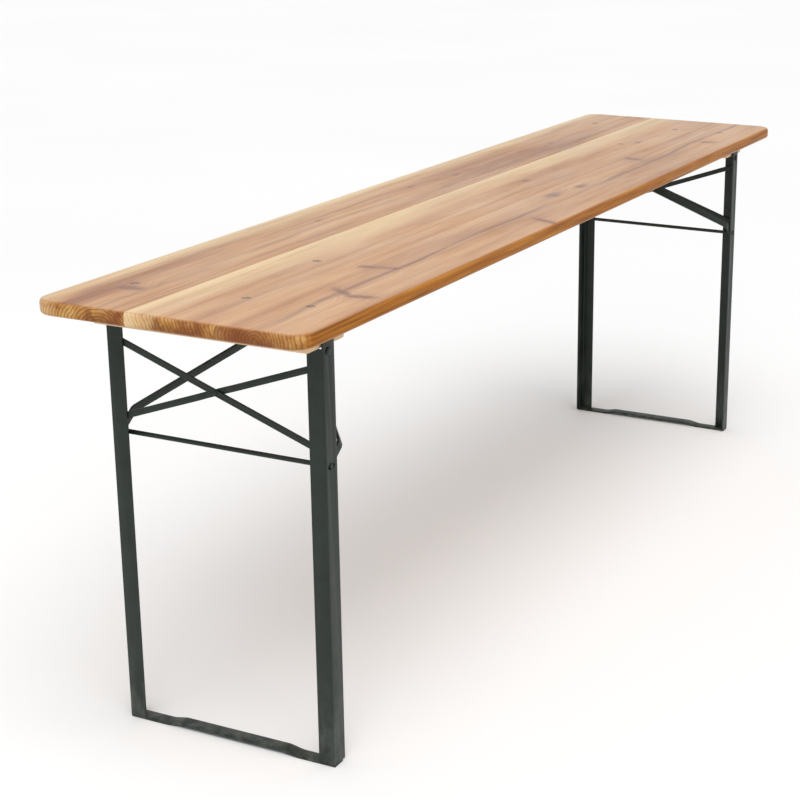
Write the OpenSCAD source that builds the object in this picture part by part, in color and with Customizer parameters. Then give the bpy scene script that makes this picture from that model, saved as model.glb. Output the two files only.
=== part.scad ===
// Folding beer-tent table: a plank top on two folding angle-iron leg frames.
// X runs along the table, Y across it (-Y is the front), Z is up from the floor.
// Left is the -X end. Each leg frame folds inwards under the top, and takes with it
// a two-armed brace whose tongue is held by a spring clip under the top.

/* [Top] */
// Length of the table top
table_length = 2200; // [1700:10:2400]
// Width of the table top
table_width = 500; // [440:5:620]
// Height of the top surface above the floor
table_height = 770; // [680:5:820]
// Thickness of the boards
top_thickness = 25; // [22:1:32]
// Width of the back board
back_board_width = 180; // [150:5:200]
// Width of the front board
front_board_width = 155; // [130:5:200]
// Radius of the top's corners, seen from above
corner_radius = 35; // [25:5:80]
// Radius of the rounding along the top's edges
edge_radius = 7; // [3:0.5:10]

/* [Battens] */
// Width of a cross batten, along the table
batten_width = 110; // [90:5:130]
// Thickness of a cross batten
batten_thickness = 30; // [22:1:34]
// How far a batten reaches past the legs' outer face, towards the table's end
batten_overhang = 38; // [30:1:60]
// Radius of the rounding along a batten's lower edges
batten_edge_radius = 3; // [1:0.5:5]

/* [Leg frames] */
// Distance from the table's end to the legs' outer face
leg_inset = 125; // [100:5:160]
// Width of a leg frame over its two legs
frame_width = 410; // [380:5:425]
// Width of the leg's end flange, across the table
end_flange_width = 30; // [26:1:36]
// Width of the leg's side flange, along the table
side_flange_width = 32; // [30:1:36]
// Thickness of the angle iron
leg_wall = 3; // [2.5:0.5:4]
// Radius inside the angle of a leg
leg_root_radius = 3; // [1:0.5:4]
// Gap between a batten and the end flange below it
flange_gap = 2; // [1:0.5:4]
// Height of the side flange's tip above the hinge
flange_tip_rise = 22; // [16:1:24]
// Radius of the corners at the side flange's tip
flange_tip_radius = 8; // [3:1:12]
// Thickness of the foot bar
foot_bar_thickness = 4; // [3:0.5:6]
// Width of the foot bar
foot_bar_width = 25; // [20:1:30]
// Height by which the foot bar's middle is raised
foot_bar_raise = 5; // [3:0.5:10]
// Length of each foot bar end that lies flat on the floor
foot_bar_foot = 75; // [60:5:110]
// Length over which the foot bar rises
foot_bar_joggle = 25; // [15:1:35]

/* [Rod and cross bars] */
// Diameter of the cross rod
rod_diameter = 8; // [6:0.5:10]
// Depth of the rod below the top's underside
rod_drop = 225; // [210:1:260]
// Distance from the legs' outer face to the middle of the rod
rod_setback = 15; // [15:0.5:17]
// Length of the slot that the rod's end sits in
slot_length = 19; // [12:1:20]
// Width of a cross bar
cross_bar_width = 11; // [8:1:16]
// Thickness of a cross bar
cross_bar_thickness = 3; // [2:0.5:4]
// Height of the cross bars' lower ends above the rod
cross_bar_low = 27; // [20:1:40]
// Depth of the cross bars' upper ends below the end flange's tip
cross_bar_drop = 30; // [20:1:60]
// Gap between a cross bar's end and the rounded root of the leg
cross_bar_end_gap = 1; // [0.5:0.5:5]
// Length of the bowed cross bar that stands clear of the other bar
cross_bar_bow = 36; // [30:2:50]
// Length of each ramp beside the bow
cross_bar_ramp = 16; // [12:1:24]

/* [Hinges] */
// Depth of the leg hinge below a batten's underside
hinge_drop = 7; // [7:0.5:9]
// Distance from the legs' outer face to the leg hinge
hinge_setback = 14; // [13:0.5:16]
// Diameter of the hinge rivets
hinge_rivet_diameter = 8; // [6:0.5:8]
// Radius of the hinge rivets' heads
rivet_head_radius = 6.5; // [5:0.5:7]
// Height of the hinge rivets' heads
rivet_head_height = 2.5; // [1.5:0.5:3]
// Thickness of the hinge brackets and their ears
bracket_wall = 3; // [2:0.5:4]
// Reach of the bracket's foot under the boards, across the table
bracket_foot = 36; // [28:1:45]
// Length of the bracket's foot, along the table
bracket_foot_length = 32; // [24:1:40]
// Depth of the bracket's arm below the top's underside, at its end
bracket_arm_depth = 10; // [6:1:14]

/* [Brace] */
// Width of a brace arm
arm_width = 14; // [10:1:15]
// Thickness of a brace arm
arm_thickness = 4; // [3:0.5:5]
// Radius of the arm's eye
eye_radius = 8; // [7:0.5:8.5]
// Straight length of the arm beside the leg
arm_heel = 44; // [36:1:50]
// Length of the tongue in which both arms run side by side
tongue_length = 80; // [75:1:100]
// Distance between the two rivets in the tongue
tongue_rivet_gap = 15; // [12:1:20]
// Distance from the legs' outer face to the tongue's tip
brace_reach = 307; // [260:1:340]
// Depth of the tongue's tip below the top's underside
tip_drop = 9.5; // [9:0.5:14]

/* [Catch] */
// Distance from the tongue's tip back to the middle of the catch
catch_back = 11; // [5:1:15]
// Length of the catch's two leaves, along the table
leaf_length = 38; // [24:1:40]
// Depth of the leaves below the top's underside
leaf_depth = 30; // [24:1:34]
// Thickness of the catch's spring steel
catch_wall = 2; // [1.5:0.25:2.5]
// Width of the catch's base, across the table
catch_width = 54; // [48:1:64]
// Distance from the centre line to the catch's rivet and to its screw
catch_rivet_out = 13; // [12:0.5:20]

/* [Fasteners] */
// Distance from the legs' outer face to the batten rivets
batten_rivet_setback = 30; // [20:1:45]
// Distance from the centre line to the batten rivets in the outer boards
batten_rivet_out = 166; // [150:1:175]
// Distance from the centre line to the batten rivets in the middle board
batten_rivet_in = 48; // [30:1:60]
// Diameter of the rivets through the top
top_rivet_diameter = 6; // [4:0.5:8]
// Diameter of the flush heads on the top
top_rivet_head = 14; // [9:0.5:16]
// Thickness of the flush heads
top_rivet_head_height = 2; // [1:0.5:3]
// Length of the bracket screws below their heads
screw_length = 18; // [12:1:20]
// Diameter of the small screws and small rivets
screw_diameter = 4; // [3:0.5:5]
// Diameter of the heads of the small screws and small rivets
screw_head = 8; // [7:0.5:9]
// Height of those heads
screw_head_height = 1.6; // [1:0.2:2]

/* [Hidden] */
$fn = 48;
// Radial clearance of a rivet that turns in a hole
running_clearance = 0.05;
// Gap between plates that slide past each other
slide_gap = 0.4;
// Gap between the two cross bars where they pass
crossing_gap = 0.1;
// Overlength of a cutting tool past the face that it cuts
cut = 1;

// Heights
underside = table_height - top_thickness;
batten_bottom = underside - batten_thickness;
flange_top = batten_bottom - flange_gap;
bracket_low = underside - bracket_wall;
hinge_z = batten_bottom - hinge_drop;
rod_height = underside - rod_drop;
tip_z = underside - tip_drop;

// Places along the table, for the left end
leg_x = -table_length / 2 + leg_inset;
batten_x = leg_x - batten_overhang;
hinge_x = leg_x + hinge_setback;
rod_x = leg_x + rod_setback;
tip_x = leg_x + brace_reach;
catch_x = tip_x - catch_back;
batten_rivet_x = leg_x + batten_rivet_setback;
bracket_foot_x = batten_x + batten_width + slide_gap;
bracket_end_x = bracket_foot_x + bracket_foot_length;
screw_x = (bracket_foot_x + bracket_end_x) / 2;
bar_face_x = leg_x + leg_wall;

// Places across the table
half_width = table_width / 2;
leg_y = frame_width / 2;
flange_in_y = leg_y - leg_wall;
ear_in_y = flange_in_y - slide_gap - bracket_wall;
arm_y = flange_in_y - slide_gap - arm_thickness;
bracket_foot_y = ear_in_y + bracket_wall - bracket_foot;
back_seam = half_width - back_board_width;
front_seam = front_board_width - half_width;

// The bracket's ear keeps clear of the rounded root of the leg as the leg swings
ear_radius = hinge_setback - leg_wall - leg_root_radius;

// Ends, slope and layers of the cross bars
bar_high_z = flange_top - cross_bar_drop;
bar_low_z = rod_height + cross_bar_low;
bar_mid_z = (bar_high_z + bar_low_z) / 2;
bar_end_y = flange_in_y - leg_root_radius - cross_bar_end_gap - cross_bar_width / 2;
bar_slope = atan2(bar_high_z - bar_low_z, 2 * bar_end_y);
bar_half = bar_end_y / cos(bar_slope);
bar_layer = cross_bar_thickness + crossing_gap;

// Places of the batten rivets across the table: one in each board
batten_rivet_rows = [-batten_rivet_out, -batten_rivet_in, batten_rivet_out];

// The brace's length and its slope at rest, from the rod to the tip of the tongue
brace_run = tip_x - rod_x;
brace_climb = tip_z - rod_height;
arm_length = sqrt(brace_run * brace_run + brace_climb * brace_climb);
brace_slope = atan2(brace_climb, brace_run);

// Distances along the arm, back from the tip, to the two rivets in the tongue
tongue_rivet_back = [
    tongue_length - screw_head - tongue_rivet_gap,
    tongue_length - screw_head
];

wood_red = [0.80, 0.60, 0.44];
wood_cream = [0.88, 0.76, 0.56];
wood_pale = [0.90, 0.80, 0.62];
paint_green = [0.15, 0.20, 0.17];
zinc = [0.62, 0.62, 0.60];
spring_steel = [0.30, 0.31, 0.32];

// Mirrors what is made for the left end so that it serves the right end
module at_end(end) {
    mirror([end == "right" ? 1 : 0, 0, 0])
        children();
}

// Mirrors what is made for the back so that it serves the front of the left end
module at_side(side) {
    mirror([0, side == "front" ? 1 : 0, 0])
        children();
}

// Puts children on both sides of the centre line, as made for the back
module both_sides() {
    for (side = ["front", "back"])
        at_side(side) children();
}

// A bar along Y, from y0 to y1
module bar_y(x, z, y0, y1, r) {
    translate([x, y0, z])
        rotate([-90, 0, 0])
            cylinder(h = y1 - y0, r = r);
}

// An outline in X and Z, with a thickness from y0 to y1
module plate_y(y0, y1) {
    translate([0, y1, 0])
        rotate([90, 0, 0])
            linear_extrude(y1 - y0) children();
}

// Rectangle with rounded ends along the first axis, from the middle of one end to the other
module stadium(length, width) {
    square([length, width], center = true);
    for (side = [-1, 1])
        translate([side * length / 2, 0])
            circle(d = width);
}

// The half section of the top's edge, from the given inner radius out to the rim
module rim_section(inner, outer) {
    translate([inner, 0])
        square([outer - edge_radius - inner, top_thickness]);
    translate([inner, edge_radius])
        square([outer - inner, top_thickness - 2 * edge_radius]);
    for (z = [edge_radius, top_thickness - edge_radius])
        translate([outer - edge_radius, z])
            circle(edge_radius);
}

// A full-length board at the back, from its seam out to the rim, with two round corners
module outer_board(seam) {
    straight_x = table_length / 2 - corner_radius;
    straight_y = half_width - corner_radius;
    translate([-straight_x, 0, underside])
        rotate([90, 0, 90])
            linear_extrude(2 * straight_x) rim_section(seam, half_width);
    for (side = [0, 1])
        mirror([side, 0, 0]) {
            translate([0, straight_y, underside])
                rotate([90, 0, 0])
                    linear_extrude(straight_y - seam) rim_section(straight_x, table_length / 2);
            translate([straight_x, straight_y, underside])
                rotate_extrude() rim_section(0, corner_radius);
        }
}

// The board between the two seams, rounded at its ends only
module inner_board() {
    translate([0, back_seam, underside])
        rotate([90, 0, 0])
            linear_extrude(back_seam - front_seam)
                for (side = [0, 1])
                    mirror([side, 0]) rim_section(0, table_length / 2);
}

// Places of the batten rivets
module top_rivet_places() {
    for (end = ["left", "right"])
        at_end(end)
            for (y = batten_rivet_rows)
                translate([batten_rivet_x, y, 0]) children();
}

// Place of each catch's rivet
module catch_rivet_places() {
    for (end = ["left", "right"])
        at_end(end)
            translate([catch_x, -catch_rivet_out, 0]) children();
}

// Place of the seat of each catch's screw
module catch_screw_places() {
    for (end = ["left", "right"])
        at_end(end)
            translate([catch_x, catch_rivet_out, underside - catch_wall]) children();
}

// A rivet with a flush head in the top, down to the given height
module top_rivet(low) {
    translate([0, 0, low])
        cylinder(h = table_height - low, d = top_rivet_diameter);
    translate([0, 0, table_height - top_rivet_head_height])
        cylinder(h = top_rivet_head_height, d = top_rivet_head);
}

// Drills a board for the rivets that pass through it and the screws that end in it
module drilled() {
    difference() {
        children();
        top_rivet_places() top_rivet(underside - cut);
        catch_rivet_places() top_rivet(underside - cut);
        catch_screw_places() screw_shank();
        for (end = ["left", "right"])
            at_end(end) bracket_screw_places() screw_shank();
    }
}

module back_board() {
    color(wood_red)
        drilled() outer_board(back_seam);
}

module middle_board() {
    color(wood_cream)
        drilled() inner_board();
}

module front_board() {
    color(wood_red)
        drilled()
            mirror([0, 1, 0]) outer_board(-front_seam);
}

// Cross batten under one end of the top, with its lower edges rounded
module batten(end) {
    r = batten_edge_radius;
    color(wood_pale)
        at_end(end)
            difference() {
                plate_y(-ear_in_y, ear_in_y) {
                    translate([batten_x, batten_bottom + r])
                        square([batten_width, batten_thickness - r]);
                    translate([batten_x + r, batten_bottom])
                        square([batten_width - 2 * r, r]);
                    for (x = [r, batten_width - r])
                        translate([batten_x + x, batten_bottom + r])
                            circle(r);
                }
                for (y = batten_rivet_rows)
                    translate([batten_rivet_x, y, batten_bottom - cut])
                        cylinder(h = batten_thickness + 2 * cut, d = top_rivet_diameter);
            }
}

module left_batten() {
    batten("left");
}

module right_batten() {
    batten("right");
}

// Rivets that hold the battens, with a round tail under the batten
module batten_rivets() {
    color(zinc)
        top_rivet_places() {
            top_rivet(batten_bottom);
            translate([0, 0, batten_bottom - screw_head_height])
                cylinder(h = screw_head_height, d = top_rivet_head);
        }
}

// Rivets that hold the catches, closed under the catch's base
module catch_rivets() {
    tail = underside - catch_wall;
    color(zinc)
        catch_rivet_places() {
            top_rivet(tail);
            translate([0, 0, tail - screw_head_height])
                cylinder(h = screw_head_height, d = screw_head);
        }
}

// Places of the two screws in each bracket's foot, at one end
module bracket_screw_places() {
    both_sides()
        for (y = [bracket_foot_y + screw_head, ear_in_y - screw_head])
            translate([screw_x, y, bracket_low]) children();
}

module screw_shank() {
    cylinder(h = screw_length, d = screw_diameter);
}

// A pan-head screw from below, its seat at the origin
module screw() {
    screw_shank();
    translate([0, 0, -screw_head_height])
        cylinder(h = screw_head_height, d = screw_head);
}

// The second fastener of each catch
module catch_screws() {
    color(zinc)
        catch_screw_places() screw();
}

// The screws that hold the brackets under the boards
module bracket_screws() {
    color(zinc)
        for (end = ["left", "right"])
            at_end(end) bracket_screw_places() screw();
}

// Angle bracket: an ear beside the batten's end, with an arm along the top's underside,
// and a foot under the boards
module hinge_bracket(end, side) {
    color(paint_green)
        at_end(end) at_side(side)
            difference() {
                union() {
                    plate_y(ear_in_y, ear_in_y + bracket_wall) {
                        translate([hinge_x, hinge_z])
                            circle(ear_radius);
                        translate([hinge_x - ear_radius, hinge_z])
                            square([2 * ear_radius, underside - hinge_z]);
                        polygon([
                            [hinge_x, hinge_z + ear_radius],
                            [hinge_x + ear_radius, hinge_z + ear_radius],
                            [bracket_foot_x, underside - bracket_arm_depth],
                            [bracket_end_x, underside - bracket_arm_depth],
                            [bracket_end_x, underside],
                            [hinge_x, underside]
                        ]);
                    }
                    translate([bracket_foot_x, bracket_foot_y, bracket_low])
                        cube([bracket_foot_length, ear_in_y - bracket_foot_y + cut, bracket_wall]);
                }
                bar_y(hinge_x, hinge_z, ear_in_y - cut, leg_y, hinge_rivet_diameter / 2);
                for (y = [bracket_foot_y + screw_head, ear_in_y - screw_head])
                    translate([screw_x, y, bracket_low - cut])
                        cylinder(h = bracket_wall + 2 * cut, d = screw_diameter);
            }
}

module left_front_hinge_bracket() {
    hinge_bracket("left", "front");
}

module left_back_hinge_bracket() {
    hinge_bracket("left", "back");
}

module right_front_hinge_bracket() {
    hinge_bracket("right", "front");
}

module right_back_hinge_bracket() {
    hinge_bracket("right", "back");
}

// A rivet along Y with a round head at each end of the given stretch
module plate_rivet(x, z, y0, y1) {
    bar_y(x, z, y0, y1, hinge_rivet_diameter / 2);
    bar_y(x, z, y0 - rivet_head_height, y0, rivet_head_radius);
    bar_y(x, z, y1, y1 + rivet_head_height, rivet_head_radius);
}

// The four rivets on which the leg frames swing, fixed in the brackets' ears
module leg_hinge_rivets() {
    color(zinc)
        for (end = ["left", "right"])
            at_end(end)
                both_sides()
                    plate_rivet(hinge_x, hinge_z, ear_in_y, leg_y + slide_gap);
}

// Spring clip under the top: a base and two leaves, with the tongue between them
module catch_clip(end) {
    leaf_in = arm_thickness + slide_gap;
    leaf_out = leaf_in + catch_wall;
    flare = 3;
    flare_height = 7;
    base_low = underside - catch_wall;
    color(spring_steel)
        at_end(end)
            difference() {
                union() {
                    translate([catch_x - leaf_length / 2, -catch_width / 2, base_low])
                        cube([leaf_length, catch_width, catch_wall]);
                    both_sides()
                        translate([catch_x - leaf_length / 2, 0, 0])
                            rotate([90, 0, 90])
                                linear_extrude(leaf_length)
                                    polygon([
                                        [leaf_in, base_low + catch_wall / 2],
                                        [leaf_in, underside - leaf_depth + flare_height],
                                        [leaf_in + flare, underside - leaf_depth],
                                        [leaf_out + flare, underside - leaf_depth],
                                        [leaf_out, underside - leaf_depth + flare_height],
                                        [leaf_out, base_low + catch_wall / 2]
                                    ]);
                }
                translate([catch_x, -catch_rivet_out, base_low - cut])
                    cylinder(h = catch_wall + 2 * cut, d = top_rivet_diameter);
                translate([catch_x, catch_rivet_out, base_low - cut])
                    cylinder(h = catch_wall + 2 * cut, d = screw_diameter);
            }
}

module left_catch() {
    catch_clip("left");
}

module right_catch() {
    catch_clip("right");
}

// Angle-iron leg: end flange outwards, side flange with a rounded tip, holes and slot
module leg(end, side) {
    r = leg_root_radius;
    tip = hinge_z + flange_tip_rise;
    tip_r = flange_tip_radius;
    color(paint_green)
        at_end(end) at_side(side)
            difference() {
                union() {
                    translate([leg_x, leg_y, foot_bar_thickness])
                        linear_extrude(flange_top - foot_bar_thickness) {
                            translate([0, -end_flange_width])
                                square([leg_wall, end_flange_width]);
                            translate([0, -leg_wall])
                                square([side_flange_width, leg_wall]);
                            difference() {
                                translate([0, -leg_wall - r])
                                    square([leg_wall + r, leg_wall + r]);
                                translate([leg_wall + r, -leg_wall - r])
                                    circle(r);
                            }
                        }
                    plate_y(flange_in_y, leg_y) {
                        translate([leg_x, flange_top - cut])
                            square([side_flange_width, tip - tip_r - flange_top + cut]);
                        translate([leg_x + tip_r, flange_top - cut])
                            square([side_flange_width - 2 * tip_r, tip - flange_top + cut]);
                        for (x = [tip_r, side_flange_width - tip_r])
                            translate([leg_x + x, tip - tip_r])
                                circle(tip_r);
                    }
                }
                bar_y(hinge_x, hinge_z, flange_in_y - cut, leg_y + cut,
                    hinge_rivet_diameter / 2 + running_clearance);
                plate_y(flange_in_y - cut, leg_y + cut)
                    translate([rod_x, rod_height])
                        stadium(slot_length - rod_diameter, rod_diameter);
            }
}

module left_front_leg() {
    leg("left", "front");
}

module left_back_leg() {
    leg("left", "back");
}

module right_front_leg() {
    leg("right", "front");
}

module right_back_leg() {
    leg("right", "back");
}

// Flat bar under both legs, its middle raised off the floor
module foot_bar(end) {
    t = foot_bar_thickness;
    up = foot_bar_raise;
    a = leg_y - foot_bar_foot;
    b = a - foot_bar_joggle;
    color(paint_green)
        at_end(end)
            translate([leg_x, 0, 0])
                rotate([90, 0, 90])
                    linear_extrude(foot_bar_width)
                        polygon([
                            [-leg_y, 0], [-a, 0], [-b, up], [b, up], [a, 0], [leg_y, 0],
                            [leg_y, t], [a, t], [b, up + t], [-b, up + t], [-a, t], [-leg_y, t]
                        ]);
}

module left_foot_bar() {
    foot_bar("left");
}

module right_foot_bar() {
    foot_bar("right");
}

// Round rod between the legs, its ends standing a little proud of the side flanges
module cross_rod(end) {
    over = 1;
    color(paint_green)
        at_end(end)
            bar_y(rod_x, rod_height, -leg_y - over, leg_y + over, rod_diameter / 2);
}

module left_cross_rod() {
    cross_rod("left");
}

module right_cross_rod() {
    cross_rod("right");
}

// A cross bar on the end flanges, made flat along Y and turned to its slope;
// the bowed one passes over the other at the crossing
module cross_bar(end, turn, bow) {
    w = cross_bar_width;
    t = cross_bar_thickness;
    lift = bow ? bar_layer : 0;
    flat = cross_bar_bow / 2;
    ramp = cross_bar_ramp;
    color(paint_green)
        at_end(end)
            translate([bar_face_x, 0, bar_mid_z])
                rotate([turn * bar_slope, 0, 0])
                    difference() {
                        intersection() {
                            translate([0, 0, -w / 2])
                                linear_extrude(w)
                                    polygon([
                                        [0, -bar_half - w / 2], [0, -flat - ramp], [lift, -flat],
                                        [lift, flat], [0, flat + ramp], [0, bar_half + w / 2],
                                        [t, bar_half + w / 2], [t, flat + ramp], [lift + t, flat],
                                        [lift + t, -flat], [t, -flat - ramp], [t, -bar_half - w / 2]
                                    ]);
                            translate([-cut, 0, 0])
                                rotate([90, 0, 90])
                                    linear_extrude(t + bar_layer + 2 * cut)
                                        stadium(2 * bar_half, w);
                        }
                        translate([-cut, 0, 0])
                            rotate([0, 90, 0])
                                cylinder(h = t + bar_layer + 2 * cut, d = screw_diameter);
                    }
}

module left_rear_cross_bar() {
    cross_bar("left", 1, false);
}

module left_face_cross_bar() {
    cross_bar("left", -1, true);
}

module right_rear_cross_bar() {
    cross_bar("right", 1, false);
}

module right_face_cross_bar() {
    cross_bar("right", -1, true);
}

// Small rivet through the crossing of the two bars
module cross_rivet(end) {
    stack = cross_bar_thickness + bar_layer;
    color(paint_green)
        at_end(end)
            translate([bar_face_x, 0, bar_mid_z])
                rotate([0, 90, 0]) {
                    cylinder(h = stack, d = screw_diameter);
                    for (z = [-screw_head_height, stack])
                        translate([0, 0, z])
                            cylinder(h = screw_head_height, d = screw_head);
                }
}

module left_cross_rivet() {
    cross_rivet("left");
}

module right_cross_rivet() {
    cross_rivet("right");
}

// Puts a shape made along the arm (X) at its place: the rod at the origin, sloping up
module at_brace() {
    translate([rod_x, 0, rod_height])
        rotate([0, -brace_slope, 0])
            children();
}

// Brace arm: an eye on the rod beside the leg, a heel, a slanting run and half of the tongue
module brace_arm(end, side) {
    t = arm_thickness;
    w = arm_width;
    bend_out = arm_heel;
    bend_in = arm_length - tongue_length;
    mitre = t / 2;
    color(paint_green)
        at_end(end) at_side(side)
            at_brace()
                difference() {
                    union() {
                        translate([0, 0, -w / 2])
                            linear_extrude(w)
                                polygon([
                                    [0, arm_y], [bend_out, arm_y], [bend_in, 0], [arm_length, 0],
                                    [arm_length, t], [bend_in + mitre, t],
                                    [bend_out + mitre, arm_y + t], [0, arm_y + t]
                                ]);
                        bar_y(0, 0, arm_y, arm_y + t, eye_radius);
                    }
                    bar_y(0, 0, arm_y - cut, arm_y + t + cut, rod_diameter / 2 + running_clearance);
                    for (back = tongue_rivet_back)
                        bar_y(arm_length - back, 0, -cut, t + cut, screw_diameter / 2);
                }
}

module left_front_brace_arm() {
    brace_arm("left", "front");
}

module left_back_brace_arm() {
    brace_arm("left", "back");
}

module right_front_brace_arm() {
    brace_arm("right", "front");
}

module right_back_brace_arm() {
    brace_arm("right", "back");
}

// Two small rivets that join the arms at the tongue
module tongue_rivets(end) {
    t = arm_thickness;
    h = screw_head_height;
    color(paint_green)
        at_end(end)
            at_brace()
                for (back = tongue_rivet_back) {
                    bar_y(arm_length - back, 0, -t - h, t + h, screw_diameter / 2);
                    bar_y(arm_length - back, 0, -t - h, -t, screw_head / 2);
                    bar_y(arm_length - back, 0, t, t + h, screw_head / 2);
                }
}

module left_tongue_rivets() {
    tongue_rivets("left");
}

module right_tongue_rivets() {
    tongue_rivets("right");
}

back_board();
middle_board();
front_board();
left_batten();
right_batten();
batten_rivets();
catch_rivets();
catch_screws();
bracket_screws();
leg_hinge_rivets();
left_front_hinge_bracket();
left_back_hinge_bracket();
right_front_hinge_bracket();
right_back_hinge_bracket();
left_catch();
right_catch();
left_front_leg();
left_back_leg();
left_foot_bar();
left_cross_rod();
left_rear_cross_bar();
left_face_cross_bar();
left_cross_rivet();
left_front_brace_arm();
left_back_brace_arm();
left_tongue_rivets();
right_front_leg();
right_back_leg();
right_foot_bar();
right_cross_rod();
right_rear_cross_bar();
right_face_cross_bar();
right_cross_rivet();
right_front_brace_arm();
right_back_brace_arm();
right_tongue_rivets();
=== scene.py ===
import math

import bmesh
import bpy
from mathutils import Matrix, Vector


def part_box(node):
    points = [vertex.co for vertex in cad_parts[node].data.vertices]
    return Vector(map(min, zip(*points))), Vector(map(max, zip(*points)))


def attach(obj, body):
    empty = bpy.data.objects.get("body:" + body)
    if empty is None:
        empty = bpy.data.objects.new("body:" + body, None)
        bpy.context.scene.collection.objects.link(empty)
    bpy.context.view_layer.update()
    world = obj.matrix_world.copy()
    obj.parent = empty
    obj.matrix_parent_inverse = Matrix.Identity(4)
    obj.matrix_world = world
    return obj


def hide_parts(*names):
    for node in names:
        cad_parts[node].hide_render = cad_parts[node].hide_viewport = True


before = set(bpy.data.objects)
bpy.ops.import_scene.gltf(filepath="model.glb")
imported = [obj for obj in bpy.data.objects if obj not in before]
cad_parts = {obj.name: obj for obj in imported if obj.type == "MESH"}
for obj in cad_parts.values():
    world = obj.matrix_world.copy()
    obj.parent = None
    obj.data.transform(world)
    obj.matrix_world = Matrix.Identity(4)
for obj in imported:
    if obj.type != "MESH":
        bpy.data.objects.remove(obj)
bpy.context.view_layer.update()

# ---------------------------------------------------------------------------------------------
# Boards
# The top is three softwood boards glued edge to edge: reddish heartwood at the back, pinker
# wood in the middle and front, and pale sapwood along the back seam. Rounded over and varnished.
# ---------------------------------------------------------------------------------------------

rim_radius = 0.007
corner_radius = 0.035
seam_chamfer = 0.0004
rim_steps = 7
corner_steps = 12
top_low, top_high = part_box("front_board")[0].z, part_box("front_board")[1].z
table_half_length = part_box("front_board")[1].x
table_half_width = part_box("back_board")[1].y


def board_outline(y_low, y_high, rim):
    """Plan of one board, counter-clockwise, as (x, y, end share, seam side) points."""
    points = []
    for sign_x, sign_y, first in ((-1, -1, 180), (1, -1, 270), (1, 1, 0), (-1, 1, 90)):
        y = y_low if sign_y < 0 else y_high
        if abs(abs(y) - table_half_width) > 1e-4:
            points.append((sign_x * (table_half_length - rim), y, 1.0, -sign_y))
            continue
        for step in range(corner_steps + 1):
            angle = math.radians(first + 90 * step / corner_steps)
            reach = corner_radius - rim
            points.append((
                sign_x * (table_half_length - corner_radius) + reach * math.cos(angle),
                sign_y * (table_half_width - corner_radius) + reach * math.sin(angle),
                abs(math.cos(angle)), 0))
    return points


def board_mesh(name, y_low, y_high):
    """A board as rings from its bottom face, round the rim, to its top face."""
    levels = []
    for step in range(rim_steps + 1):
        turn = math.radians(90 * step / rim_steps)
        rim = rim_radius * (1 - math.sin(turn))
        drop = rim_radius * (1 - math.cos(turn))
        levels.append((rim, drop, math.sin(turn)))
    rings = [(rim, top_low + drop, edge) for rim, drop, edge in levels]
    rings += [(rim, top_high - drop, edge) for rim, drop, edge in reversed(levels)]
    work = bmesh.new()
    edge_share = work.verts.layers.float.new("rim")
    end_share = work.verts.layers.float.new("end_grain")
    loops = []
    for rim, height, edge in rings:
        chamfer = max(0.0, seam_chamfer - min(height - top_low, top_high - height))
        loop = []
        for x, y, end, seam in board_outline(y_low, y_high, rim):
            vert = work.verts.new((x, y + seam * chamfer, height))
            vert[edge_share] = edge
            vert[end_share] = edge * end
            loop.append(vert)
        loops.append(loop)
    for lower, upper in zip(loops, loops[1:]):
        for i in range(len(lower)):
            j = (i + 1) % len(lower)
            work.faces.new((lower[i], lower[j], upper[j], upper[i]))
    work.faces.new(list(reversed(loops[0])))
    work.faces.new(loops[-1])
    mesh = bpy.data.meshes.new(name)
    work.to_mesh(mesh)
    work.free()
    return mesh


def in_scene(name, mesh):
    """An object at the origin that shows the mesh."""
    piece = bpy.data.objects.new(name, mesh)
    bpy.context.scene.collection.objects.link(piece)
    return piece


def settled(piece):
    """Swaps the piece's mesh for the result of its modifiers, and removes them."""
    graph = bpy.context.evaluated_depsgraph_get()
    mesh = bpy.data.meshes.new_from_object(piece.evaluated_get(graph))
    piece.modifiers.clear()
    piece.data = mesh
    return piece


def smooth_by_angle(piece, degrees=35):
    """Smooth shading, with hard edges where faces meet at more than the angle."""
    piece.data.shade_smooth()
    piece.data.set_sharp_from_angle(angle=math.radians(degrees))
    return piece


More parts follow.
